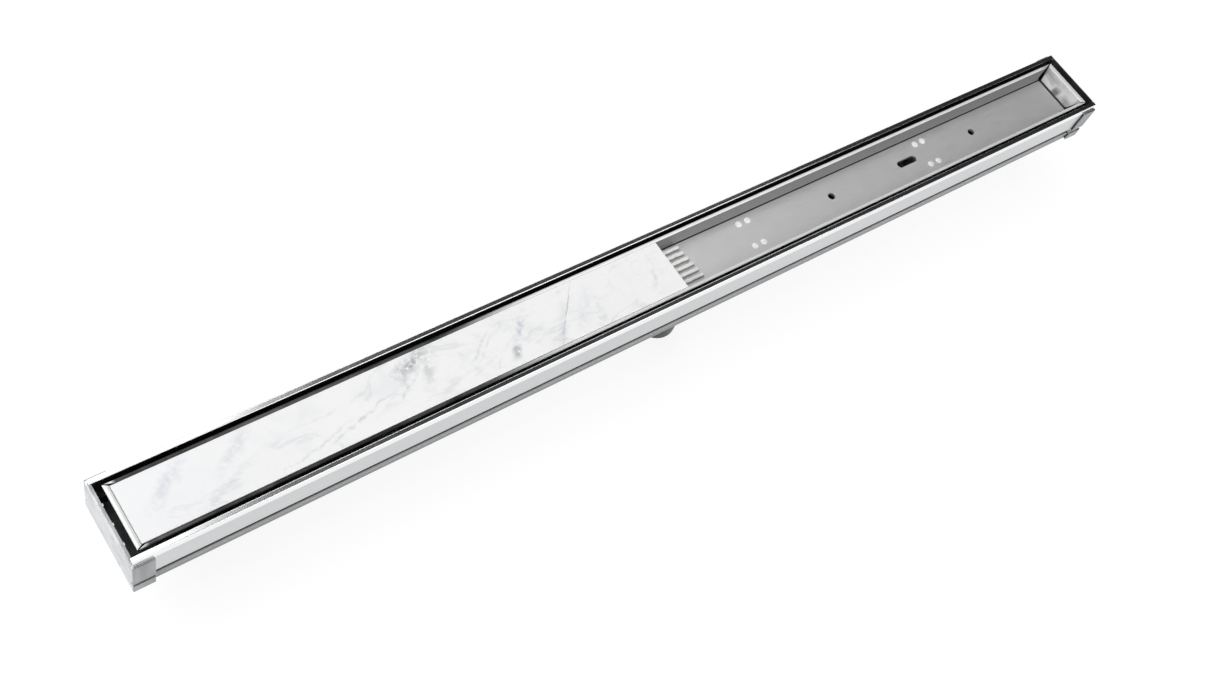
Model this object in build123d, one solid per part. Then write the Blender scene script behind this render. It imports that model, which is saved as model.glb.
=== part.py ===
from build123d import *
import math
import os

# Linear shower drain with a lift-out tile tray, in millimetres.
# The channel lies along X, Y crosses it, and Z = 0 is the lower end of the outlet.

# Channel extrusion, with levels measured down from the top of the rim
rim_level = 100.0
channel_length = 1000.0
channel_width = 70.0
wall = 2.0
rim_width = 4.1
rim_thickness = 2.5
rim_lean = 0.9
rim_round = 0.6
rail_height = 5.2
groove_level = 28.7
groove_height = 8.8
groove_depth = 3.5
base_thickness = 2.0
base_lip = 5.1
trough_round = 1.5

# End caps and the seals under them
wing_length = 15.0
wing_drop = 0.3
cap_sheet = 1.0
cap_plate = 1.2
cap_round = 0.8
seal_thickness = 1.0
plug_thickness = 3.0
plug_clearance = 0.2
plug_lip = 1.0
ledge_level = 12.0
rib_level = 8.0
rib_thickness = 2.0
rib_pitch = 16.0

# Outlet, as wide as the floor of the trough takes and clamped through the base by a backnut
gasket_clearance = 1.0
gasket_width = 5.7
gasket_thickness = 1.5
flange_overhang = 1.0
flange_thickness = 2.5
outlet_clearance = 0.3
shank_step = 1.0
shank_runout = 4.0
pipe_wall = 2.0
pipe_lead_in = 1.0
nut_wall = 3.2
nut_height = 9.0
nut_lugs = 6
lug_width = 5.0
lug_reach = 2.5

# Tile tray, folded from sheet: its sides slope a little and its ends more, by these runs over its depth
tray_setdown = 1.5
tray_depth = 11.1
tray_sheet = 2.5
tray_side_gap = 2.8
tray_end_gap = 3.2
side_run = 4.4
end_run = 12.5
edge_bevel = 0.8
fold_bevel = 1.5
seam_width = 0.5
relief_width = 4.0
relief_reach = 1.5
hole_radius = 3.5
inner_hole_station = 173.5
outer_hole_station = 358.0
slot_station = 270.0
slot_length = 23.5
slot_width = 7.0

# Tray legs and the blind rivets that hold them
inner_leg_station = 77.5
outer_leg_station = 296.5
leg_inset = 14.7
leg_length = 24.0
leg_width = 14.0
leg_sheet = 1.5
leg_bend = 2.0
rivet_pitch = 10.0
rivet_sides = 10
rivet_radius = 1.6
rivet_clearance = 0.1
rivet_head_radius = 3.2
rivet_head_taper = 48.0
rivet_head_height = 1.0
rivet_tail_radius = 2.4
rivet_tail_height = 2.2
rivet_pocket = 0.2

# Tile and the combed adhesive under it
tile_length = 474.6
tile_thickness = 8.5
tile_clearance = 0.3
tile_arris = 0.6
adhesive_thickness = 2.6
adhesive_margin = 1.5
ridge_count = 6
ridge_margin = 2.2
ridge_width = 4.4
ridge_crest = 2.6
ridge_reach = 24.5
ridge_skew = 0.12
ridge_tip = 1.6

# Levels and half sizes that follow from the dimensions above
half_length = channel_length / 2
half_width = channel_width / 2
rim_inner = half_width - rim_lean - rim_width
trough_half = half_width - wall
low_half = half_width - groove_depth - wall
rail_bottom = rim_level - rail_height
groove_ceiling = rim_level - groove_level
base_top = groove_ceiling - groove_height
base_under = base_top - base_thickness
channel_bottom = base_top - base_lip
ledge_top = groove_ceiling + wall
plug_face = half_length - plug_thickness
tray_top = rim_level - tray_setdown
tray_floor = tray_top - tray_depth
tray_under = tray_floor - tray_sheet
tray_half_width = rim_inner - tray_side_gap
tray_inner_half = tray_half_width - tray_sheet * math.hypot(1, side_run / tray_depth)
tray_half_length = plug_face - tray_end_gap
flap_face = tray_half_length - tray_sheet * math.hypot(1, end_run / tray_depth)
fold_start = flap_face - end_run
floor_half = tray_inner_half - side_run
gasket_radius = low_half - trough_round - gasket_clearance
gasket_bore = gasket_radius - gasket_width
flange_radius = gasket_radius + flange_overhang
flange_bottom = base_top + gasket_thickness
shank_radius = gasket_bore - outlet_clearance
pipe_radius = shank_radius - shank_step
nut_bottom = base_under - nut_height
leg_offset = tray_half_width - leg_inset
adhesive_top = tray_floor + adhesive_thickness
bed_half = floor_half - ridge_margin
ridge_pitch = (2 * bed_half - ridge_width) / (ridge_count - 1)
leg_stations = [-outer_leg_station, -inner_leg_station, inner_leg_station, outer_leg_station]


def mirrored(half_outline):
    """Face whose outline is drawn for one side and repeated on the other."""
    other_side = [(-across, level) for across, level in reversed(half_outline)]
    return make_face(Polyline(*half_outline, *other_side, close=True))


def corners(face, across, level):
    """The pair of outline corners at one half width and level."""
    tolerance = 0.01
    return face.vertices().filter_by(
        lambda corner: abs(abs(corner.X) - across) < tolerance and abs(corner.Y - level) < tolerance
    )


def along_x(face, start, end):
    """Carries a cross-section drawn in Y and Z from one X to another."""
    return Pos(X=start) * extrude(Plane.YZ * face, amount=end - start)


def ring(outer, inner, bottom, height):
    """Flat ring round the outlet."""
    return Pos(Z=bottom + height / 2) * (Cylinder(outer, height) - Cylinder(inner, height))


def outside_outline(grow, drop=0):
    """Outside of the channel from a drop below the wings' top, grown outward, down to its underside."""
    side = half_width + grow
    groove_back = half_width - groove_depth + grow
    return mirrored([
        (side, rail_bottom - wing_drop - drop),
        (side, groove_ceiling - grow),
        (groove_back, groove_ceiling - grow),
        (groove_back, base_top + grow),
        (side, base_top + grow),
        (side, channel_bottom - grow),
    ])


def channel_body():
    """Extruded trough with a leaning rail, an inward rim and a side groove above the base lip."""
    groove_back = half_width - groove_depth
    face = mirrored([
        (low_half, base_top),
        (low_half, ledge_top),
        (trough_half, ledge_top),
        (trough_half, rim_level - rim_thickness),
        (rim_inner, rim_level - rim_thickness),
        (rim_inner, rim_level),
        (half_width - rim_lean, rim_level),
        (half_width, rail_bottom),
        (half_width, groove_ceiling),
        (groove_back, groove_ceiling),
        (groove_back, base_top),
        (half_width, base_top),
        (half_width, channel_bottom),
        (trough_half, channel_bottom),
        (trough_half, base_under),
    ])
    face = fillet(corners(face, half_width - rim_lean, rim_level), rim_round)
    face = fillet(corners(face, rim_inner, rim_level), rim_round)
    face = fillet(corners(face, low_half, base_top), trough_round)
    trough = along_x(face, -half_length, half_length)
    outlet_hole = Cylinder(gasket_bore, 2 * base_lip)
    return trough - Pos(Z=base_top) * outlet_hole


def plug_outline():
    """Inside of the channel, less the clearance of the plug that closes it."""
    under_rim = rim_level - rim_thickness - plug_clearance
    face = mirrored([
        (low_half - plug_clearance, base_top + plug_clearance),
        (low_half - plug_clearance, ledge_top + plug_clearance),
        (trough_half - plug_clearance, ledge_top + plug_clearance),
        (trough_half - plug_clearance, under_rim),
        (rim_inner - plug_clearance, under_rim),
        (rim_inner - plug_clearance, rim_level),
    ])
    return fillet(corners(face, low_half - plug_clearance, base_top + plug_clearance), trough_round)


def end_cap():
    """Right-hand cap: sleeve turned in over its seal, end plate, and plug with a ribbed lip on its ledge."""
    outline = outside_outline(seal_thickness + cap_sheet)
    sleeve = outline - outside_outline(seal_thickness, cap_sheet) - outside_outline(plug_clearance)
    plate = along_x(outline, half_length, half_length + cap_plate)
    plug = along_x(plug_outline(), plug_face, half_length)
    inward = (Align.MIN, Align.CENTER, Align.MAX)
    plug -= Pos(plug_face, 0, rim_level) * Box(plug_thickness - plug_lip, channel_width, ledge_level, align=inward)
    cap = along_x(sleeve, half_length - wing_length, half_length) + plate + plug
    plate_edges = cap.edges().filter_by(Axis.Z).group_by(lambda edge: edge.center().X)[-1]
    cap = fillet(plate_edges.group_by(lambda edge: abs(edge.center().Y))[-1], cap_round)
    rib = Box(plug_thickness - plug_lip, rib_thickness, ledge_level - rib_level, align=inward)
    for across in (-rib_pitch, 0, rib_pitch):
        cap += Pos(plug_face, across, rim_level - rib_level) * rib
    return cap


def end_seal():
    """Right-hand seal: rubber strip between the channel and the sleeve of the cap."""
    strip = outside_outline(seal_thickness, cap_sheet) - outside_outline(0, cap_sheet)
    return along_x(strip, half_length - wing_length, half_length)


def outlet_spigot():
    """Flanged outlet with a shank through the base and a plain pipe end, turned as one piece."""
    bore = pipe_radius - pipe_wall
    shank_bottom = nut_bottom - shank_runout
    profile = make_face(Polyline(
        (bore, 0),
        (pipe_radius - pipe_lead_in, 0),
        (pipe_radius, pipe_lead_in),
        (pipe_radius, shank_bottom),
        (shank_radius, shank_bottom),
        (shank_radius, flange_bottom),
        (flange_radius, flange_bottom),
        (flange_radius, flange_bottom + flange_thickness),
        (bore, flange_bottom + flange_thickness),
        close=True,
    ))
    return revolve(Plane.XZ * profile, Axis.Z)


def outlet_gasket():
    """Rubber gasket between the flange and the base of the channel."""
    return ring(gasket_radius, gasket_bore, base_top, gasket_thickness)


def outlet_backnut():
    """Ring nut with grip lugs that clamps the outlet from below."""
    nut_radius = gasket_bore + nut_wall
    nut = ring(nut_radius, gasket_bore, nut_bottom, nut_height)
    lug = Box(2 * lug_reach, lug_width, nut_height, align=(Align.MAX, Align.CENTER, Align.MIN))
    for place in PolarLocations(nut_radius + lug_reach, nut_lugs):
        nut += Pos(Z=nut_bottom) * place * lug
    return nut


def sloped_block(bottom, top, end_half, side_half):
    """Block with the slopes of the tray on its four sides, from its half sizes at the tray's top."""
    under = (tray_top - bottom) / tray_depth
    over = (tray_top - top) / tray_depth
    across = mirrored([(side_half - side_run * under, bottom), (side_half - side_run * over, top)])
    lengthwise = mirrored([(end_half - end_run * under, bottom), (end_half - end_run * over, top)])
    return along_x(across, -end_half, end_half) & extrude(Plane.XZ * lengthwise, amount=side_half, both=True)


def corner_seam():
    """What is left open at the right far corner: a relief where the folds meet and a seam up from it."""
    along = tray_half_length - fold_start
    across = tray_half_width - floor_half
    outline = Polyline(
        (-relief_reach, -relief_width / 2),
        (math.hypot(along, across), -seam_width / 2),
        (math.hypot(along, across), seam_width / 2),
        (-relief_reach, relief_width / 2),
        close=True,
    )
    corner = Pos(fold_start, floor_half, tray_floor) * Rot(Z=math.degrees(math.atan2(across, along)))
    return corner * extrude(make_face(outline), amount=2 * tray_depth, both=True)


def tile_tray():
    """Folded tray with open corner seams, two lifting slots and round holes in its floor."""
    outside = sloped_block(tray_under, tray_top, tray_half_length, tray_half_width)
    tray = outside - sloped_block(tray_floor, tray_top, flap_face, tray_inner_half)
    tray = chamfer(tray.faces().sort_by(Axis.Z)[-1].edges(), edge_bevel)
    tray = chamfer(tray.faces().sort_by(Axis.Z)[0].edges(), fold_bevel)
    far_right = corner_seam()
    far_left = mirror(far_right, Plane.YZ)
    for seam in (far_right, far_left):
        tray = tray - seam - mirror(seam, Plane.XZ)
    through = 2 * tray_sheet
    for side in (-1, 1):
        for station in (inner_hole_station, outer_hole_station):
            tray -= Pos(side * station, 0, tray_under) * Cylinder(hole_radius, through)
        slot = extrude(SlotOverall(slot_length, slot_width), amount=through, both=True)
        tray -= Pos(side * slot_station, 0, tray_under) * slot
    for place in rivet_places():
        tray -= place * rivet_hole()
    return tray


def rivet_places():
    """Where the rivets stand on the tray floor: two along X in each leg."""
    return [
        Pos(station + shift, across, tray_floor)
        for station in leg_stations
        for across in (-leg_offset, leg_offset)
        for shift in (-rivet_pitch / 2, rivet_pitch / 2)
    ]


def rivet_section(radius):
    """Cross-section of a rivet, with few sides because there are many rivets."""
    return RegularPolygon(radius, rivet_sides)


def rivet_hole():
    """What a rivet takes out of the tray floor and the leg under it."""
    depth = tray_sheet + 2 * leg_sheet
    return extrude(rivet_section(rivet_radius + rivet_clearance), amount=depth, both=True)


def tray_leg():
    """Bent strip leg under the far side of the tray, open towards the middle, from base to tray."""
    height = tray_under - base_top
    hollow = Pos(X=-leg_sheet) * Rectangle(leg_width, height - 2 * leg_sheet)
    face = Rectangle(leg_width, height) - hollow
    face = fillet(face.vertices().group_by(Axis.X)[-1], leg_bend)
    leg = Pos(0, leg_offset, base_top + height / 2) * along_x(face, -leg_length / 2, leg_length / 2)
    for shift in (-rivet_pitch / 2, rivet_pitch / 2):
        leg -= Pos(shift, leg_offset, tray_floor) * rivet_hole()
    return leg


def tray_rivets():
    """Blind rivets: low coned head on the tray floor, shank through both sheets, tail under the leg."""
    grip = tray_sheet + leg_sheet
    rivet = extrude(rivet_section(rivet_head_radius), amount=rivet_head_height, taper=rivet_head_taper)
    rivet += extrude(rivet_section(rivet_radius), amount=-grip)
    rivet += Pos(Z=-grip) * extrude(rivet_section(rivet_tail_radius), amount=-rivet_tail_height)
    return Compound([place * rivet for place in rivet_places()])


def tile_insert():
    """Cut tile that fills the left part of the tray, sloped underneath like the tray's sides."""
    tile_end = tile_clearance - flap_face + tile_length
    top = adhesive_top + tile_thickness
    tile = sloped_block(adhesive_top, top, flap_face - tile_clearance, tray_inner_half - tile_clearance)
    tile = split(tile, Plane.YZ.offset(tile_end), keep=Keep.BOTTOM)
    return fillet(tile.faces().sort_by(Axis.Z)[-1].edges(), tile_arris)


def adhesive_bed():
    """Adhesive squeezed flat under the tile, with its combed ridges left open past the cut end."""
    tile_end = tile_clearance - flap_face + tile_length
    bed_start = adhesive_margin - fold_start
    bed_length = tile_end - adhesive_margin - bed_start
    bed = Pos(bed_start, 0, tray_floor) * Box(
        bed_length, 2 * bed_half, adhesive_thickness, align=(Align.MIN, Align.CENTER, Align.MIN)
    )
    ridge_face = mirrored([(ridge_width / 2, 0), (ridge_crest / 2, adhesive_thickness)])
    for count in range(ridge_count):
        across = (count - (ridge_count - 1) / 2) * ridge_pitch
        ridge = along_x(ridge_face, 0, tile_end + ridge_reach - ridge_skew * across - bed_start)
        tip = ridge.faces().sort_by(Axis.X)[-1].edges().sort_by(Axis.Z)[-1]
        bed += Pos(bed_start, across, tray_floor) * chamfer(tip, ridge_tip)
    pocket_depth = rivet_head_height + rivet_pocket
    pocket = extrude(rivet_section(rivet_head_radius + rivet_pocket), amount=pocket_depth, both=True)
    for place in rivet_places():
        bed -= place * pocket
    return bed


def build():
    """Every piece of the drain by name."""
    cap = end_cap()
    seal = end_seal()
    leg = tray_leg()
    pieces = {
        "channel_body": channel_body(),
        "end_cap_left": mirror(cap, Plane.YZ),
        "end_cap_right": cap,
        "end_seal_left": mirror(seal, Plane.YZ),
        "end_seal_right": seal,
        "outlet_spigot": outlet_spigot(),
        "outlet_gasket": outlet_gasket(),
        "outlet_backnut": outlet_backnut(),
        "tile_tray": tile_tray(),
        "tray_rivets": tray_rivets(),
        "tile_insert": tile_insert(),
        "adhesive_bed": adhesive_bed(),
    }
    for number, station in enumerate(leg_stations, start=1):
        pieces[f"tray_leg_far_{number}"] = Pos(X=station) * leg
        pieces[f"tray_leg_near_{number}"] = Pos(X=station) * mirror(leg, Plane.XZ)
    return pieces


os.makedirs("parts", exist_ok=True)
for name, piece in build().items():
    export_step(piece, f"parts/{name}.step")
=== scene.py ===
import math

import bpy
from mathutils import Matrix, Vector


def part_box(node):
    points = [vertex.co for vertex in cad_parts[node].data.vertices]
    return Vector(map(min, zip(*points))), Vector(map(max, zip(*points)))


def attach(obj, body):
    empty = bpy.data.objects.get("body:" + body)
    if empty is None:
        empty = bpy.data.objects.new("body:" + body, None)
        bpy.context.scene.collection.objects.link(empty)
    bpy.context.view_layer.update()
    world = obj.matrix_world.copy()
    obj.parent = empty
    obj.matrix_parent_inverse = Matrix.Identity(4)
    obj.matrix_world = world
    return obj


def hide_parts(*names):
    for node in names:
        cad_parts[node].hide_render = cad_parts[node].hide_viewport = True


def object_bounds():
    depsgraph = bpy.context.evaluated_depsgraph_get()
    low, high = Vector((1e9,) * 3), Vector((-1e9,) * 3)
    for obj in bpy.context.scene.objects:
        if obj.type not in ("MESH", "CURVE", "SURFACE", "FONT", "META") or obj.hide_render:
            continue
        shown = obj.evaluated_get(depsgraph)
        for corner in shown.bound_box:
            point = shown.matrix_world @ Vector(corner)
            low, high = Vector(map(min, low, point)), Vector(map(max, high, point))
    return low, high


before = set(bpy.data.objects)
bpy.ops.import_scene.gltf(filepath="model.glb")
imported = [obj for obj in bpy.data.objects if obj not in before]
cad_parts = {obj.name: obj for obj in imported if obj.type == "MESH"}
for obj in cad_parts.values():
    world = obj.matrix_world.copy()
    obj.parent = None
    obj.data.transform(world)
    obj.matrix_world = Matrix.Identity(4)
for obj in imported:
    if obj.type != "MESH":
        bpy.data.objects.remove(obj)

cad_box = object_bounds()

# Channel
# One long aluminium extrusion: trough, base lip, side groove, leaning rail and inward rim in one section.
# Rim and rail are polished after drawing and the walls are satin. The lip and the trough inside are painted
# dark as shade, the trough with a rough finish, and the front of the lip's top is painted pale as light.
MM = 0.001
BLEND = 0.2 * MM  # over which one finish gives way to the next


def add(tree, kind, inputs=None, **settings):
    """Adds one shader node; each input takes a value or the socket of another node."""
    made = tree.nodes.new("ShaderNode" + kind)
    for setting, value in settings.items():
        setattr(made, setting, value)
    for key, value in (inputs or {}).items():
        if isinstance(value, bpy.types.NodeSocket):
            tree.links.new(value, made.inputs[key])
        else:
            made.inputs[key].default_value = value
    return made


def between(tree, factor, first, second):
    """A colour between two colours."""
    return add(tree, "Mix", {0: factor, 6: first, 7: second}, data_type="RGBA").outputs[2]


def span(tree, factor, first, second):
    """A value between two values."""
    return add(tree, "Mix", {0: factor, 2: first, 3: second}).outputs[0]


def step(tree, value, start, end):
    """Rises smoothly from 0 at the start to 1 at the end."""
    limits = {"Value": value, "From Min": start, "From Max": end}
    return add(tree, "MapRange", limits, interpolation_type="SMOOTHSTEP").outputs["Result"]


def times(tree, first, second):
    """Product of two values."""
    return add(tree, "Math", {0: first, 1: second}, operation="MULTIPLY").outputs[0]


def unsigned(tree, value):
    """A value without its sign."""
    return add(tree, "Math", {0: value}, operation="ABSOLUTE").outputs[0]


def spot(tree):
    """Where a point of the piece is, in metres."""
    return add(tree, "TexCoord").outputs["Object"]


def by_axis(tree):
    """Where a point of the piece is, one value for each axis."""
    return add(tree, "SeparateXYZ", {0: spot(tree)}).outputs


def facing_up(tree):
    """How far a face looks up: 1 where it is level, 0 where it is upright."""
    normal = add(tree, "NewGeometry").outputs["Normal"]
    return add(tree, "SeparateXYZ", {0: normal}).outputs["Z"]


def noise(tree, where, scale, detail, **more):
    """Cloudy noise: the first output is a value, the second a colour."""
    return add(tree, "TexNoise", {"Vector": where, "Scale": scale, "Detail": detail, **more}).outputs


def new_group(name, takes, gives):
    """Starts a shader node group; hands back its tree, its inputs and its one output."""
    tree = bpy.data.node_groups.new(name, "ShaderNodeTree")
    for socket, value in takes.items():
        made = tree.interface.new_socket(socket, in_out="INPUT", socket_type="NodeSocketFloat")
        made.default_value = value
    tree.interface.new_socket(gives, in_out="OUTPUT", socket_type="NodeSocketFloat")
    return tree, tree.nodes.new("NodeGroupInput").outputs, tree.nodes.new("NodeGroupOutput").inputs[gives]


def effect(tree, group, **values):
    """Places a node group with its own values; hands back its mask."""
    return add(tree, "Group", values, node_tree=group).outputs[0]


def new_finish(name, **constants):
    """Starts a material; hands back the material, its tree and its surface shader."""
    made = bpy.data.materials.new(name)
    made.use_nodes = True
    shader = made.node_tree.nodes["Principled BSDF"]
    for socket, value in constants.items():
        shader.inputs[socket.replace("_", " ")].default_value = value
    return made, made.node_tree, shader


def feed(tree, shader, **links):
    """Links sockets to the inputs of a surface shader."""
    for socket, source in links.items():
        tree.links.new(source, shader.inputs[socket.replace("_", " ")])


def relief(tree, height, depth, strength):
    """Normal of a surface whose relief has this depth."""
    bump = add(tree, "Bump", {"Height": height, "Distance": depth, "Strength": strength})
    return bump.outputs["Normal"]


def dress(names, finish):
    """Gives CAD nodes their finish."""
    for name in names:
        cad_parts[name].material_slots[0].material = finish


# Streaks of drawing, brushing or wiping: noise drawn out along the axis with the fewest per metre.
streaks, takes, gives = new_group("streaks", {"X": 5.0, "Y": 900.0, "Z": 900.0}, "Streak")
per_metre = add(streaks, "CombineXYZ", {axis: takes[axis] for axis in "XYZ"})
drawn_out = add(streaks, "VectorMath", {0: spot(streaks), 1: per_metre.outputs[0]}, operation="MULTIPLY")
streak_noise = noise(streaks, drawn_out.outputs[0], 1.0, 3.0)
streaks.links.new(step(streaks, streak_noise[0], 0.3, 0.7), gives)

# Wear along edges, partly real wear and partly a painted highlight: where a rounded normal leaves the
# face's own.
edge_wear_and_highlight, takes, gives = new_group("edge_wear_and_highlight", {"Radius": 0.4 * MM}, "Edge")
rounded = add(edge_wear_and_highlight, "Bevel", {"Radius": takes["Radius"]}, samples=4)
facing = add(edge_wear_and_highlight, "NewGeometry").outputs["Normal"]
match = add(edge_wear_and_highlight, "VectorMath", {0: rounded.outputs[0], 1: facing}, operation="DOT_PRODUCT")
edge_wear_and_highlight.links.new(step(edge_wear_and_highlight, match.outputs["Value"], 0.99, 0.85), gives)

# Smudges of handling and dried water.
smudges, takes, gives = new_group("smudges", {"Size": 30.0}, "Smudge")
smudge_noise = noise(smudges, spot(smudges), takes["Size"], 5.0, Roughness=0.6, Distortion=0.5)
smudges.links.new(step(smudges, smudge_noise[0], 0.42, 0.72), gives)

channel_low, channel_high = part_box("channel_body")
RAIL_FOOT, RIM_UNDER = channel_high.z - 5.2 * MM, channel_high.z - 2.4 * MM
TROUGH_HALF, LIP_TOP = channel_high.y - 1.8 * MM, channel_low.z + 5.2 * MM
LEDGE_BACK, LEDGE_FRONT = channel_high.y - 2.8 * MM, channel_high.y - 1.2 * MM
SATIN_DARK, SATIN_LIGHT, SATIN_ROUGH = (0.57, 0.58, 0.59, 1), (0.66, 0.67, 0.68, 1), (0.30, 0.40)
POLISHED, RUBBED_AND_HIGHLIT, POLISHED_ROUGH = (0.86, 0.865, 0.87, 1), (0.90, 0.905, 0.91, 1), (0.16, 0.19)
TROUGH_SHADE_DARK, TROUGH_SHADE_LIGHT, MILL_ROUGH = (0.13, 0.135, 0.14, 1), (0.20, 0.205, 0.21, 1), 0.55
LIP_SHADE, LEDGE_PAINTED_LIGHT, LEDGE_METAL = (0.23, 0.24, 0.24, 1), (0.80, 0.80, 0.80, 1), 0.1
LEVEL = (0.8, 0.9)  # how far a face looks up before it starts to count as level, and when it does
channel_finish, tree, shader = new_finish("polished_and_satin_aluminium")
die_lines = effect(tree, streaks, X=4.0, Y=1600.0, Z=1600.0)
handling = effect(tree, smudges, Size=28.0)
worn_and_highlit = effect(tree, edge_wear_and_highlight)
place = by_axis(tree)
aside = unsigned(tree, place["Y"])
polish = step(tree, place["Z"], RAIL_FOOT - BLEND, RAIL_FOOT + BLEND)
between_walls = step(tree, aside, TROUGH_HALF + BLEND, TROUGH_HALF - BLEND / 2)
inside = times(tree, between_walls, step(tree, place["Z"], RIM_UNDER, RIM_UNDER - 1.5 * BLEND))
metal = between(tree, polish, between(tree, die_lines, SATIN_DARK, SATIN_LIGHT), POLISHED)
# The lip is painted dark as shade, and the trough inside darker still.
metal = between(tree, step(tree, place["Z"], LIP_TOP + BLEND, LIP_TOP), metal, LIP_SHADE)
metal = between(tree, inside, metal, between(tree, handling, TROUGH_SHADE_DARK, TROUGH_SHADE_LIGHT))
# The front of the lip's top is painted pale as light falling on it, so that the groove above it shows as a
# thin line.
lip_level = step(tree, place["Z"], LIP_TOP + 2 * BLEND, LIP_TOP + BLEND)
painted_light_ledge = times(tree, step(tree, facing_up(tree), *LEVEL), lip_level)
painted_light_ledge = times(tree, painted_light_ledge, step(tree, aside, LEDGE_BACK, LEDGE_FRONT))
metal = between(tree, painted_light_ledge, metal, LEDGE_PAINTED_LIGHT)
outside_rough = span(
    tree, polish, span(tree, die_lines, *SATIN_ROUGH), span(tree, handling, *POLISHED_ROUGH))
# The worn edges are lightened, partly wear and partly a painted highlight.
feed(
    tree, shader,
    Base_Color=between(tree, times(tree, worn_and_highlit, 0.5), metal, RUBBED_AND_HIGHLIT),
    Metallic=span(tree, painted_light_ledge, 1.0, LEDGE_METAL),
    Roughness=span(tree, inside, outside_rough, MILL_ROUGH),
    Normal=relief(tree, span(tree, polish, die_lines, 0.0), 0.004 * MM, 0.25),
)
dress(["channel_body"], channel_finish)

# End seals
# Moulded strips of black rubber, pressed between the channel and the sleeve of each end cap.
# The ring under the outlet's flange is of the same rubber.
RUBBER, RUBBER_DUSTY, RUBBER_ROUGH = (0.012, 0.012, 0.012, 1), (0.045, 0.045, 0.044, 1), (0.62, 0.82)
rubber_finish, tree, shader = new_finish("black_rubber", Specular_IOR_Level=0.35)
dust = effect(tree, smudges, Size=140.0)
pores = noise(tree, spot(tree), 2500.0, 2.0)[0]
feed(
    tree, shader,
    Base_Color=between(tree, dust, RUBBER, RUBBER_DUSTY),
    Roughness=span(tree, dust, *RUBBER_ROUGH),
    Normal=relief(tree, pores, 0.05 * MM, 0.3),
)
dress(["end_seal_left", "end_seal_right", "outlet_gasket"], rubber_finish)

# End caps
# Aluminium caps pushed on over the channel's ends: a sleeve with feet, an end plate and a ribbed plug.
# The plate is blasted and then wiped, which leaves upright smudges; the sleeve, the top and the plug are
# painted darker as shade.
cap_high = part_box("end_cap_right")[1]
SLEEVE_SIDE, PLUG_SIDE = cap_high.y - 1.3 * MM, cap_high.y - 4.0 * MM
LIP_FACE, PLATE_TOP, RIB_LEVEL = cap_high.x - 2.2 * MM, cap_high.z - 5.5 * MM, cap_high.z - 8.0 * MM
PLATE_DARK, PLATE_LIGHT, CAP_EDGE = (0.40, 0.41, 0.42, 1), (0.74, 0.75, 0.76, 1), (0.80, 0.81, 0.82, 1)
CAP_SHADE_DARK, CAP_SHADE_LIGHT = (0.27, 0.28, 0.29, 1), (0.36, 0.37, 0.38, 1)
PLUG_SHADE_DARK, PLUG_SHADE_LIGHT, PLUG_METAL = (0.035, 0.036, 0.037, 1), (0.075, 0.077, 0.08, 1), 0.2
CAP_ROUGH = (0.48, 0.36)


def larger(tree, first, second):
    """The larger of two values."""
    return add(tree, "Math", {0: first, 1: second}, operation="MAXIMUM").outputs[0]


cap_finish, tree, shader = new_finish("blasted_aluminium")
wiped = effect(tree, streaks, X=90.0, Y=90.0, Z=14.0)
handling = effect(tree, smudges, Size=45.0)
worn_and_highlit = effect(tree, edge_wear_and_highlight)
blasting = noise(tree, spot(tree), 2200.0, 2.0)[0]
place = by_axis(tree)
aside, endways = unsigned(tree, place["Y"]), unsigned(tree, place["X"])
sleeve = step(tree, aside, SLEEVE_SIDE, SLEEVE_SIDE + BLEND)
# The sleeve's sides and the cap's top are painted darker as shade.
sleeve_and_top_shade = larger(tree, sleeve, step(tree, place["Z"], PLATE_TOP, PLATE_TOP + BLEND))
plate = between(tree, times(tree, handling, span(tree, wiped, 0.4, 1.0)), PLATE_LIGHT, PLATE_DARK)
metal = between(tree, sleeve_and_top_shade, plate, between(tree, wiped, CAP_SHADE_DARK, CAP_SHADE_LIGHT))
# The plug inside the end plate is painted dark as shade, all but the tops of its ribs, which keep the
# plate's light colour.
behind_lip = step(tree, endways, LIP_FACE + 1.5 * BLEND, LIP_FACE + BLEND / 2)
plug_shade = times(tree, behind_lip, step(tree, aside, PLUG_SIDE + BLEND, PLUG_SIDE))
rib_level = step(tree, place["Z"], RIB_LEVEL - 5 * BLEND, RIB_LEVEL - 2.5 * BLEND)
rib_top = times(tree, step(tree, facing_up(tree), 0.3, 0.7), rib_level)
plug_shade = times(tree, plug_shade, span(tree, rib_top, 1.0, 0.0))
metal = between(tree, plug_shade, metal, between(tree, handling, PLUG_SHADE_DARK, PLUG_SHADE_LIGHT))
# The worn edges are lightened, partly wear and partly a painted highlight.
feed(
    tree, shader,
    Base_Color=between(tree, times(tree, worn_and_highlit, 0.4), metal, CAP_EDGE),
    Metallic=span(tree, plug_shade, 1.0, PLUG_METAL),
    Roughness=span(tree, wiped, *CAP_ROUGH),
    Normal=relief(tree, blasting, 0.03 * MM, 0.35),
)
dress(["end_cap_left", "end_cap_right"], cap_finish)

# Outlet
# Flanged spigot and backnut, moulded in dark grey plastic. The nut draws the flange down on its
# rubber gasket, and the pipe end below takes a push-fit waste pipe.
MOULDED_DARK, MOULDED_LIGHT = (0.055, 0.062, 0.060, 1), (0.085, 0.095, 0.092, 1)
MOULDED_EDGE, MOULDED_ROUGH = (0.16, 0.17, 0.17, 1), (0.38, 0.55)
outlet_finish, tree, shader = new_finish("grey_moulding")
flow = effect(tree, smudges, Size=55.0)
worn_and_highlit = effect(tree, edge_wear_and_highlight)
spark = noise(tree, spot(tree), 1800.0, 3.0)[0]
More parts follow.
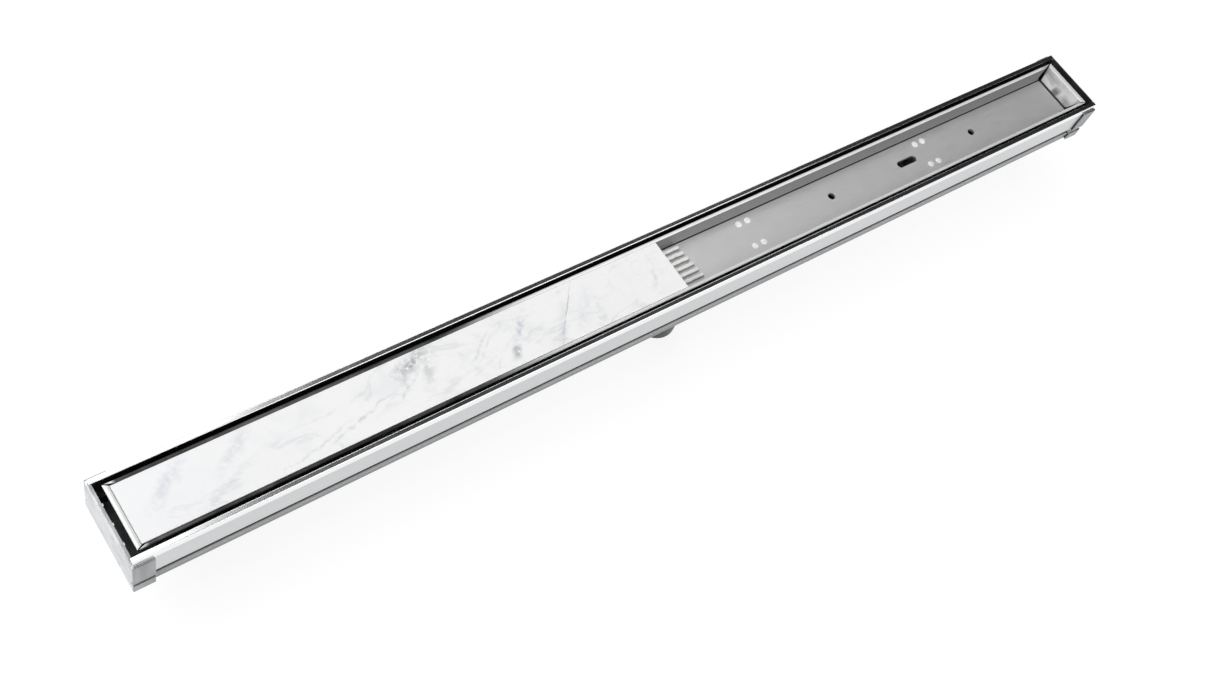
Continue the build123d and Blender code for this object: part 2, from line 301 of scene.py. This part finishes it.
# The worn edges are lightened, partly wear and partly a painted highlight.
feed(
    tree, shader,
    Base_Color=between(tree, worn_and_highlit, between(tree, flow, MOULDED_DARK, MOULDED_LIGHT), MOULDED_EDGE),
    Roughness=span(tree, spark, *MOULDED_ROUGH),
    Normal=relief(tree, spark, 0.03 * MM, 0.3),
)
dress(["outlet_spigot", "outlet_backnut"], outlet_finish)

# Tile tray and its legs
# The tray is folded from brushed stainless sheet with its edge ground bright, and lifts out whole.
# Eight legs, bent from strip of the same steel and riveted on, carry it on the floor of the channel.
tray_low, tray_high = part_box("tile_tray")
FOLD_SIDE, FOLD_END = tray_high.y - 6.8 * MM, tray_high.x - 15.7 * MM
FOLD_LEVEL, TRAY_EDGE = tray_low.z + 2.5 * MM, tray_high.z - 0.8 * MM
BRUSHED_DARK, BRUSHED_LIGHT, BRUSHED_ROUGH = (0.77, 0.77, 0.77, 1), (0.84, 0.84, 0.84, 1), (0.52, 0.62)
GROUND, GROUND_METAL, GROUND_ROUGH = (0.88, 0.88, 0.88, 1), 0.3, (0.45, 0.34)
FLAP_SHADE_GREY, WALL_SHADE_GREY = (0.40, 0.40, 0.40, 1), (0.31, 0.31, 0.31, 1)
FOLD_SHADE, FLAP_SHADE_SHARE = (0.05, 0.05, 0.05, 1), 0.75
EDGE_DARK_REFLECTION, DARK_REFLECTION_START, DARK_REFLECTION_FULL = (0.015, 0.015, 0.015, 1), -120.0 * MM, -230.0 * MM


def near(tree, value, line, reach):
    """1 on a line and 0 past a reach on either side of it, whatever the sign of the value."""
    away = add(tree, "Math", {0: unsigned(tree, value), 1: line}, operation="SUBTRACT").outputs[0]
    return step(tree, unsigned(tree, away), reach, 0.3 * reach)


tray_finish, tree, shader = new_finish("brushed_steel_sheet")
brushing = effect(tree, streaks, X=60.0, Y=3400.0, Z=3400.0)
handling = effect(tree, smudges, Size=22.0)
worn_and_highlit = effect(tree, edge_wear_and_highlight, Radius=0.5 * MM)
place = by_axis(tree)
aside, endways = unsigned(tree, place["Y"]), unsigned(tree, place["X"])
level = facing_up(tree)
ground = step(tree, place["Z"], TRAY_EDGE - BLEND, TRAY_EDGE)
flap = step(tree, endways, FOLD_END, FOLD_END + 5 * BLEND)
wall = times(tree, step(tree, aside, FOLD_SIDE, FOLD_SIDE + 4 * BLEND), step(tree, level, 0.9, 0.7))
sheet = between(tree, brushing, BRUSHED_DARK, BRUSHED_LIGHT)
sheet = between(tree, times(tree, handling, 0.35), sheet, BRUSHED_DARK)
# The upright side walls and the end flaps are painted darker as shade; on the flaps it varies with the
# handling smudges.
sheet = between(tree, wall, sheet, WALL_SHADE_GREY)
sheet = between(tree, times(tree, flap, span(tree, handling, 0.55, 0.9)), sheet, FLAP_SHADE_GREY)
# The ground edge is bright, and worn edges are lightened towards it, partly wear and partly a painted
# highlight.
sheet = between(tree, larger(tree, ground, times(tree, worn_and_highlit, 0.5)), sheet, GROUND)
# A dark reflection is painted on the ground edge along most of the tile, but not on the end flaps.
along_tile = step(tree, place["X"], DARK_REFLECTION_START, DARK_REFLECTION_FULL)
painted_reflection = times(tree, along_tile, step(tree, endways, FOLD_END + 10.0 * MM, FOLD_END + 6.0 * MM))
painted_reflection = times(tree, painted_reflection, span(tree, handling, 1.0, 0.9))
sheet = between(tree, times(tree, ground, painted_reflection), sheet, EDGE_DARK_REFLECTION)
# Shade is painted dark in the far fold and in the end folds, and in blotches up the flaps, with a painted
# dark reflection in the middle of each flap.
far_side = step(tree, place["Y"], 0.0, FOLD_SIDE / 2)
far_fold = times(tree, near(tree, place["Y"], FOLD_SIDE, 1.1 * MM), far_side)
folds = larger(tree, far_fold, near(tree, place["X"], FOLD_END, 1.9 * MM))
fold_and_flap_shade = times(tree, folds, near(tree, place["Z"], FOLD_LEVEL, 1.6 * MM))
mid_flap_reflection = times(tree, near(tree, place["X"], FOLD_END, 9.0 * MM), near(tree, place["Y"], 0.0, 6.0 * MM))
blotchy_flap_shade = times(tree, handling, near(tree, place["X"], FOLD_END + 3.0 * MM, 11.0 * MM))
flap_shade = times(tree, larger(tree, mid_flap_reflection, blotchy_flap_shade), flap)
fold_and_flap_shade = larger(tree, fold_and_flap_shade, times(tree, flap_shade, FLAP_SHADE_SHARE))
ground_rough = span(tree, step(tree, level, *LEVEL), *GROUND_ROUGH)
feed(
    tree, shader,
    Base_Color=between(tree, fold_and_flap_shade, sheet, FOLD_SHADE),
    Metallic=span(tree, ground, 1.0, GROUND_METAL),
    Roughness=span(tree, ground, span(tree, brushing, *BRUSHED_ROUGH), ground_rough),
    Normal=relief(tree, brushing, 0.006 * MM, 0.3),
)
LEGS = [f"tray_leg_{side}_{number}" for side in ("far", "near") for number in (1, 2, 3, 4)]
dress(["tile_tray", *LEGS], tray_finish)

# Blind rivets
# Aluminium rivets, two through the tray floor into each leg: a low dome with the hole that the
# mandrel left, a shank through both sheets and a swelled tail under the leg.
RIVET_SIDES, RIVET_PITCH, RIVET_GRIP, RIVET_ROUND = 40, 10.0 * MM, 4.0 * MM, 0.12 * MM
HEAD_RADIUS, HEAD_RIM, HEAD_HEIGHT = 3.2 * MM, 0.35 * MM, 1.0 * MM
DOME_WIDTHS, DOME_RISES = (0.7 * MM, 0.8 * MM), (0.40 * MM, 0.18 * MM)
MANDREL_RADIUS, MANDREL_DEPTH, MANDREL_TAPER = 0.6 * MM, 0.7 * MM, 0.08 * MM
SHANK_RADIUS, TAIL_RADIUS, TAIL_HEIGHT = 1.6 * MM, 2.4 * MM, 2.2 * MM
TAIL_TIP_INSET, TAIL_TIP = 0.5 * MM, 0.3 * MM
RIVET_DARK, RIVET_BRIGHT, RIVET_ROUGH = (0.90, 0.90, 0.90, 1), (0.97, 0.97, 0.97, 1), (0.70, 0.85)
SMOOTH_ANGLE = math.radians(35)


def clear_selection():
    """Leaves nothing selected before the next piece is made."""
    if bpy.context.object and bpy.context.object.mode != "OBJECT":
        bpy.ops.object.mode_set(mode="OBJECT")
    bpy.ops.object.select_all(action="DESELECT")


def pick_faces(piece, wanted):
    """Selects the faces of a piece whose normal passes a test, in edit mode."""
    bpy.ops.mesh.select_mode(type="FACE")
    bpy.ops.mesh.select_all(action="DESELECT")
    bpy.ops.object.mode_set(mode="OBJECT")
    for face in piece.data.polygons:
        face.select = wanted(face.normal)
    bpy.ops.object.mode_set(mode="EDIT")


def settle(piece, name, finish, slot, *nodes):
    """Names a finished piece, fixes its place in its mesh, gives it its finish, hangs it under the root and
    hides the CAD nodes it stands in for.
    """
    clear_selection()
    piece.select_set(True)
    bpy.context.view_layer.objects.active = piece
    bpy.ops.object.transform_apply(location=True, rotation=True, scale=True)
    bpy.ops.object.shade_smooth_by_angle(angle=SMOOTH_ANGLE)
    piece.name = piece.data.name = name
    piece.data.materials.clear()
    piece.data.materials.append(finish)
    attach(piece, "root")
    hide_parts(*nodes)


rivet_finish, tree, shader = new_finish("bright_rivet_aluminium", Metallic=0.4)
handling = effect(tree, smudges, Size=420.0)
feed(
    tree, shader,
    Base_Color=between(tree, handling, RIVET_BRIGHT, RIVET_DARK),
    Roughness=span(tree, handling, *RIVET_ROUGH),
    Normal=relief(tree, handling, 0.02 * MM, 0.2),
)

clear_selection()
bpy.ops.mesh.primitive_cylinder_add(
    vertices=RIVET_SIDES, radius=HEAD_RADIUS, depth=HEAD_RIM, location=(0, 0, HEAD_RIM / 2))
first_rivet = bpy.context.object
bpy.ops.object.transform_apply(location=True)
bpy.ops.object.mode_set(mode="EDIT")
pick_faces(first_rivet, lambda normal: normal.z > 0.9)
for width, rise in zip(DOME_WIDTHS, DOME_RISES):
    bpy.ops.mesh.inset(thickness=width, depth=rise)
crown_width = HEAD_RADIUS - sum(DOME_WIDTHS) - MANDREL_RADIUS
bpy.ops.mesh.inset(thickness=crown_width, depth=HEAD_HEIGHT - HEAD_RIM - sum(DOME_RISES))
bpy.ops.mesh.inset(thickness=MANDREL_TAPER, depth=-MANDREL_DEPTH)
pick_faces(first_rivet, lambda normal: normal.z < -0.9)
bpy.ops.mesh.inset(thickness=HEAD_RADIUS - SHANK_RADIUS)
bpy.ops.mesh.extrude_region_move(TRANSFORM_OT_translate={"value": (0, 0, -RIVET_GRIP)})
bpy.ops.mesh.extrude_region_move(TRANSFORM_OT_translate={"value": (0, 0, 0)})
widen = TAIL_RADIUS / SHANK_RADIUS
bpy.ops.transform.resize(value=(widen, widen, 1), center_override=(0, 0, -RIVET_GRIP))
bpy.ops.mesh.extrude_region_move(TRANSFORM_OT_translate={"value": (0, 0, -TAIL_HEIGHT)})
bpy.ops.mesh.inset(thickness=TAIL_TIP_INSET, depth=TAIL_TIP)
bpy.ops.object.mode_set(mode="OBJECT")
soften = first_rivet.modifiers.new("soften", "BEVEL")
soften.width, soften.segments, soften.limit_method = RIVET_ROUND, 2, "ANGLE"
bpy.ops.object.modifier_apply(modifier=soften.name)

floor_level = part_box("tray_rivets")[1].z - HEAD_HEIGHT
rivet_places = []
for leg in LEGS:
    low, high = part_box(leg)
    middle = (low + high) / 2
    for shift in (-RIVET_PITCH / 2, RIVET_PITCH / 2):
        rivet_places.append(Vector((middle.x + shift, middle.y, floor_level)))
for number, rivet_place in enumerate(rivet_places, start=1):
    rivet = first_rivet.copy()
    rivet.data = first_rivet.data.copy()
    bpy.context.collection.objects.link(rivet)
    rivet.location = rivet_place
    settle(rivet, f"rivet_{number}", rivet_finish, "rivet", "tray_rivets")
bpy.data.objects.remove(first_rivet)

# Adhesive
# Cement-based tile adhesive, spread with a notched trowel: pressed flat under the tile, and left
# standing in six ridges past the tile's cut end, where they broke off unevenly.
BED_MARGIN, BED_ROUND = 1.5 * MM, 0.3 * MM
RIDGES, RIDGE_PITCH, RIDGE_WIDTH, RIDGE_ROUND = 6, 6.28 * MM, 4.0 * MM, 1.3 * MM
RIDGE_REACH, RIDGE_SKEW, RIDGE_CUTS = 24.5 * MM, 0.12, 20
CREST_FOOT, DRAG_SIZE, DRAG_DEPTH, DRAG_MIDDLE = 0.4 * MM, 4.0 * MM, 1.1 * MM, 0.62
CEMENT, CEMENT_DARK, CEMENT_ROUGH = (0.78, 0.78, 0.77, 1), (0.58, 0.58, 0.575, 1), (0.80, 0.95)
CEMENT_FLANK_SHADE = (0.30, 0.30, 0.295, 1)
adhesive_finish, tree, shader = new_finish("set_tile_adhesive", Specular_IOR_Level=0.2)
mottle = effect(tree, smudges, Size=260.0)
sand = noise(tree, spot(tree), 2600.0, 3.0)[0]
# The flanks of the ridges are painted darker as shade.
flank_shade = step(tree, facing_up(tree), 0.85, 0.35)
cement = between(tree, times(tree, mottle, sand), CEMENT, CEMENT_DARK)
feed(
    tree, shader,
    Base_Color=between(tree, flank_shade, cement, CEMENT_FLANK_SHADE),
    Roughness=span(tree, sand, *CEMENT_ROUGH),
    Normal=relief(tree, sand, 0.15 * MM, 0.5),
)


def block(low, high):
    """Adds a box between two corners, in edit mode with everything selected."""
    clear_selection()
    bpy.ops.mesh.primitive_cube_add(size=1, location=(low + high) / 2, scale=high - low)
    made = bpy.context.object
    bpy.ops.object.transform_apply(location=True, rotation=True, scale=True)
    bpy.ops.object.mode_set(mode="EDIT")
    return made


bed_low, bed_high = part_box("adhesive_bed")
tile_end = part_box("tile_insert")[1].x
bed_end = tile_end - BED_MARGIN
bed = block(bed_low, Vector((bed_end, bed_high.y, bed_high.z)))
bpy.ops.mesh.bevel(offset=BED_ROUND, segments=2, affect="EDGES")
bpy.ops.object.mode_set(mode="OBJECT")
ridges = []
for count in range(RIDGES):
    across = (count - (RIDGES - 1) / 2) * RIDGE_PITCH
    tip = tile_end + RIDGE_REACH - RIDGE_SKEW * across
    ridge = block(
        Vector((bed_end, across - RIDGE_WIDTH / 2, bed_low.z)),
        Vector((tip, across + RIDGE_WIDTH / 2, bed_high.z)),
    )
    pick_faces(ridge, lambda normal: normal.z > 0.9 or normal.x > 0.9)
    bpy.ops.mesh.bevel(offset=RIDGE_ROUND, segments=4, affect="EDGES")
    for cut in range(1, RIDGE_CUTS):
        bpy.ops.mesh.select_all(action="SELECT")
        station = bed_end + (tip - bed_end) * cut / RIDGE_CUTS
        bpy.ops.mesh.bisect(plane_co=(station, 0, 0), plane_no=(1, 0, 0))
    bpy.ops.object.mode_set(mode="OBJECT")
    ridges.append(ridge)
clear_selection()
for piece in (*ridges, bed):
    piece.select_set(True)
bpy.context.view_layer.objects.active = bed
bpy.ops.object.join()
crest_level = bed_low.z + CREST_FOOT
crest = bed.vertex_groups.new(name="crest")
crest.add([v.index for v in bed.data.vertices if v.co.z > crest_level and v.co.x > bed_end], 1.0, "REPLACE")
drag = bpy.data.textures.new("trowel_drag", "CLOUDS")
drag.noise_scale = DRAG_SIZE
uneven = bed.modifiers.new("uneven", "DISPLACE")
uneven.texture, uneven.vertex_group = drag, crest.name
uneven.strength, uneven.mid_level = DRAG_DEPTH, DRAG_MIDDLE
bpy.ops.object.modifier_apply(modifier=uneven.name)
bed.vertex_groups.clear()
settle(bed, "adhesive_combed", adhesive_finish, "adhesive", "adhesive_bed")

# Tile
# Cut strip of glazed tile with a white marble look, bedded in the left part of the tray. Its
# veins are soft grey and blue, most of them slanting across the strip.
vein, takes, gives = new_group(
    "vein", {"X": 0.0, "Y": 0.0, "Turn": 0.0, "Reach": 0.03, "Width": 0.002, "Wander": 0.006}, "Vein")
wander_noise = noise(vein, spot(vein), 60.0, 4.0, Roughness=0.6)
leaning = add(vein, "VectorMath", {0: wander_noise[1], 1: (0.5, 0.5, 0.5)}, operation="SUBTRACT")
shift = add(vein, "VectorMath", {0: leaning.outputs[0], "Scale": takes["Wander"]}, operation="SCALE")
wandering = add(vein, "VectorMath", {0: spot(vein), 1: shift.outputs[0]}, operation="ADD")
centre = add(vein, "CombineXYZ", {"X": takes["X"], "Y": takes["Y"]})
offset = add(vein, "VectorMath", {0: wandering.outputs[0], 1: centre.outputs[0]}, operation="SUBTRACT")
turn_back = times(vein, takes["Turn"], -1.0)
turned = add(
    vein, "VectorRotate", {"Vector": offset.outputs[0], "Angle": turn_back}, rotation_type="Z_AXIS")
course = add(vein, "SeparateXYZ", {0: turned.outputs[0]}).outputs
across = step(vein, unsigned(vein, course["Y"]), takes["Width"], 0.0)
body = times(vein, across, step(vein, unsigned(vein, course["X"]), takes["Reach"], 0.0))
mottling = noise(vein, spot(vein), 260.0, 3.0)
vein.links.new(times(vein, body, step(vein, mottling[0], 0.30, 0.62)), gives)

GLAZE, GLAZE_CLOUD, GLAZE_ROUGH = (0.94, 0.94, 0.94, 1), (0.86, 0.865, 0.88, 1), (0.16, 0.30)
END_SHADE_START, END_SHADE_FULL, END_SHADE_SHARE = -280.0 * MM, -480.0 * MM, 0.7
FLECKS, HAIRLINES, HAIRLINE_SLANT = 0.35, 0.14, math.radians(-50)
GREY_VEIN, BLUE_VEIN = (0.30, 0.33, 0.35, 1), (0.50, 0.53, 0.62, 1)
# Each vein: centre along and across the strip, slant in degrees, half length, half width and
# wander in millimetres, strength, colour.
VEINS = [
    (-258, 14, 24, 26, 11, 16, 0.80, GREY_VEIN),
    (-247, 4, 60, 26, 9, 14, 0.40, GREY_VEIN),
    (-312, -9, 17, 52, 1.8, 14, 0.40, GREY_VEIN),
    (-272, -4, 30, 24, 1.8, 10, 0.40, GREY_VEIN),
    (-204, 2, 36, 34, 2.0, 8, 0.40, BLUE_VEIN),
    (-196, 3, 36, 30, 1.5, 8, 0.35, BLUE_VEIN),
    (-167, 2, 49, 34, 4.5, 9, 0.65, BLUE_VEIN),
    (-179, -12, 70, 9, 5.0, 6, 0.75, GREY_VEIN),
    (-123, 0, 50, 42, 0.9, 5, 0.65, GREY_VEIN),
    (-136, -15, 55, 16, 5.0, 6, 0.45, BLUE_VEIN),
    (-108, -4, 50, 34, 9.0, 9, 0.25, BLUE_VEIN),
    (-99, -17, 30, 10, 5.0, 7, 0.45, GREY_VEIN),
    (-38, -6, 55, 14, 3.0, 7, 0.30, GREY_VEIN),
    (-455, 8, 40, 34, 9.0, 14, 0.45, BLUE_VEIN),
    (-405, 10, 35, 30, 7.0, 12, 0.25, GREY_VEIN),
    (-420, -12, 25, 40, 5.0, 12, 0.20, GREY_VEIN),
    (-352, -15, 12, 46, 1.6, 14, 0.35, GREY_VEIN),
]
tile_finish, tree, shader = new_finish("marble_glaze")
clouds = noise(tree, spot(tree), 24.0, 6.0, Roughness=0.62, Distortion=1.1)[0]
glaze = between(tree, step(tree, clouds, 0.46, 0.74), GLAZE, GLAZE_CLOUD)
# The glaze is painted greyer towards the left end, as shade.
end_shade = step(tree, by_axis(tree)["X"], END_SHADE_START, END_SHADE_FULL)
glaze = between(tree, times(tree, end_shade, END_SHADE_SHARE), glaze, GLAZE_CLOUD)
fleck_noise = noise(tree, spot(tree), 420.0, 3.0, Roughness=0.6)
glaze = between(tree, times(tree, step(tree, fleck_noise[0], 0.5, 0.75), FLECKS), glaze, GLAZE_CLOUD)
slanting = add(tree, "Mapping", {
    "Vector": spot(tree), "Rotation": (0, 0, HAIRLINE_SLANT), "Scale": (11, 30, 11)})
hair_noise = noise(tree, slanting.outputs[0], 1.0, 6.0, Distortion=0.8)
hairline = times(tree, near(tree, hair_noise[0], 0.5, 0.022), step(tree, clouds, 0.40, 0.60))
glaze = between(tree, times(tree, hairline, HAIRLINES), glaze, GREY_VEIN)
for x, y, slant, reach, width, wander, strength, colour in VEINS:
    run = effect(
        tree, vein, X=x * MM, Y=y * MM, Turn=math.radians(slant),
        Reach=reach * MM, Width=width * MM, Wander=wander * MM)
    glaze = between(tree, times(tree, run, strength), glaze, colour)
feed(
    tree, shader,
    Base_Color=glaze,
    Roughness=span(tree, clouds, *GLAZE_ROUGH),
    Normal=relief(tree, clouds, 0.05 * MM, 0.1),
)
dress(["tile_insert"], tile_finish)

# Studio
# A white sweep under the drain and four soft lamps: a large one overhead on the left, turned so that its
# edge slants, one over the right end, one behind that end, and a wide one in front.
FLOOR_SIZE, FLOOR_GREY, FLOOR_GLOW = 60.0, (0.28, 0.28, 0.28, 1), 0.80
ROOM_GREY, ROOM_LIGHT = (0.95, 0.97, 1.0, 1), 0.02
# Each lamp: place and aim in metres, turn about its axis in degrees, width and length, power in watts.
LAMPS = {
    "overhead_softbox": ((-1.26, 1.06, 2.1), (-1.26, 1.06, 0.0), -45, (2.2, 4.4), 66.0),
    "back_softbox": ((1.10, 1.75, 1.25), (0.05, 0.0, 0.1), 0, (1.6, 1.6), 9.0),
    "right_softbox": ((0.95, -0.50, 2.10), (0.95, -0.50, 0.0), 0, (1.6, 1.3), 9.5),
    "front_softbox": ((0.25, -1.90, 1.30), (0.0, 0.0, 0.1), 0, (3.2, 2.0), 38.0),
}


def set_up(name, data, place, aim, turn):
    """Puts a lamp or camera in its place, looking at its aim and turned about its own axis."""
    made = bpy.data.objects.new(name, data)
    bpy.context.collection.objects.link(made)
    made.location = place
    made.rotation_euler = (Vector(aim) - Vector(place)).to_track_quat("-Z", "Y").to_euler()
    made.rotation_euler.rotate_axis("Z", math.radians(turn))
    return made


clear_selection()
bpy.ops.mesh.primitive_plane_add(size=FLOOR_SIZE, location=(0, 0, cad_box[0].z))
floor = bpy.context.object
floor.name = "studio_floor"
floor_finish, tree, shader = new_finish(
    "white_sweep", Base_Color=FLOOR_GREY, Roughness=0.9, Specular_IOR_Level=0.0)
# The floor glows only where the camera, the metal or a clear piece sees it, so it keeps the shadow.
path = add(tree, "LightPath").outputs
seen = larger(tree, path["Is Camera Ray"], path["Is Glossy Ray"])
seen = larger(tree, seen, path["Is Transmission Ray"])
feed(tree, shader, Emission_Strength=times(tree, seen, FLOOR_GLOW))
floor.data.materials.append(floor_finish)

for name, (place, aim, turn, size, power) in LAMPS.items():
    lamp = bpy.data.lights.new(name, "AREA")
    lamp.shape, lamp.size, lamp.size_y, lamp.energy = "RECTANGLE", *size, power
    set_up(name, lamp, place, aim, turn)

world = bpy.data.worlds.new("grey_room")
bpy.context.scene.world = world
world.use_nodes = True
room = world.node_tree.nodes["Background"]
room.inputs["Color"].default_value = ROOM_GREY
room.inputs["Strength"].default_value = ROOM_LIGHT
bpy.context.scene.view_settings.view_transform = "Standard"

# Camera
# Looks down along the drain from its left end, over the near side, and is rolled so that the right
# end of the drain stands higher in the picture.
CAMERA_PLACE, CAMERA_AIM = Vector((-653.40, -385.38, 1039.81)) * MM, Vector((-109.71, -32.44, 100.0)) * MM
CAMERA_ROLL, CAMERA_SENSOR, CAMERA_LENS, CAMERA_REACH = 26.328, 36.0, 43.415, 50.0
lens = bpy.data.cameras.new("camera")
lens.sensor_fit, lens.sensor_width, lens.lens = "HORIZONTAL", CAMERA_SENSOR, CAMERA_LENS
lens.clip_end = CAMERA_REACH
bpy.context.scene.camera = set_up("camera", lens, CAMERA_PLACE, CAMERA_AIM, CAMERA_ROLL)
